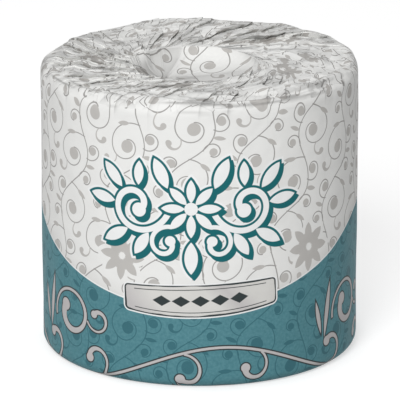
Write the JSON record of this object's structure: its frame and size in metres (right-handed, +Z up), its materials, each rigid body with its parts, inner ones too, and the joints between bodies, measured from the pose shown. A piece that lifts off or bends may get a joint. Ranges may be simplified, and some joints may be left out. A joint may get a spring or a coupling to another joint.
{
  "type": "wrapped toilet paper roll",
  "caption": "Toilet paper roll in a printed paper wrapper that is gathered with a twist over each end and tucked into the core.",
  "frame": {"origin": "middle of the foot, on the surface that the roll stands on", "axes": "+Z up along the roll's axis, -Y towards the front of the print, +Y towards the lap at the back, +X to the right as seen from the front"},
  "size_m": [0.115, 0.1152, 0.1074],
  "materials": {
    "wrapper_paper": "printed, smooth, slightly glossy"
  },
  "bodies": {
    "root": {"wrapped_roll": "wrapper_paper"}
  },
  "joints": []
}
